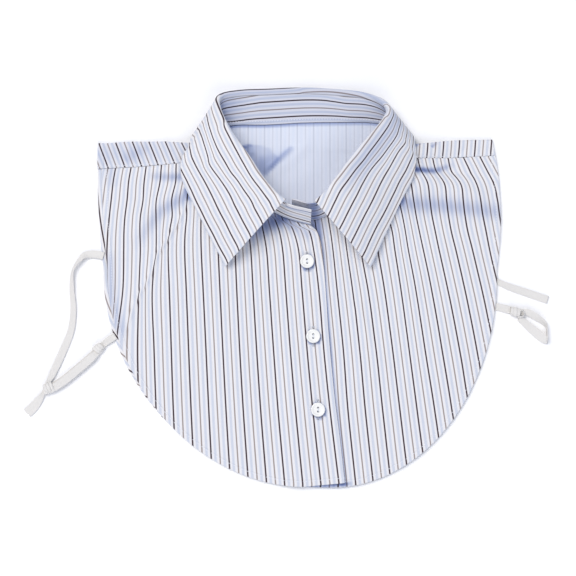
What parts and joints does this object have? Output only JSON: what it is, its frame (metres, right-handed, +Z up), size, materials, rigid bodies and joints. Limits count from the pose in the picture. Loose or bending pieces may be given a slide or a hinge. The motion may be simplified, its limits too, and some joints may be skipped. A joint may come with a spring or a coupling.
{
  "type": "detachable shirt collar with bib",
  "caption": "Striped cotton false shirt collar on a short buttoned bib front and back, with elastic side straps, lying flat to be worn under a jumper.",
  "frame": {"origin": "on the surface it lies on, under the middle of the back panel", "axes": "+Z up from the surface, +Y towards the nape of the neck, +X towards the side whose front panel lies underneath"},
  "size_m": [0.4276, 0.3299, 0.0324],
  "materials": {
    "striped_poplin": "matt cotton poplin with fine dark brown, tan and pale blue stripes on white",
    "shirt_button": "smooth white resin",
    "white_elastic": "ribbed white knitted elastic"
  },
  "bodies": {
    "root": {"back_panel": "striped_poplin", "front_panel_buttonhole": "striped_poplin", "front_panel_button": "striped_poplin", "collar_stand": "striped_poplin", "collar_leaf": "striped_poplin", "button_top": "shirt_button", "button_middle": "shirt_button", "button_bottom": "shirt_button", "strap_left": "white_elastic", "strap_right": "white_elastic", "loop_left": "white_elastic", "loop_right": "white_elastic"}
  },
  "joints": []
}
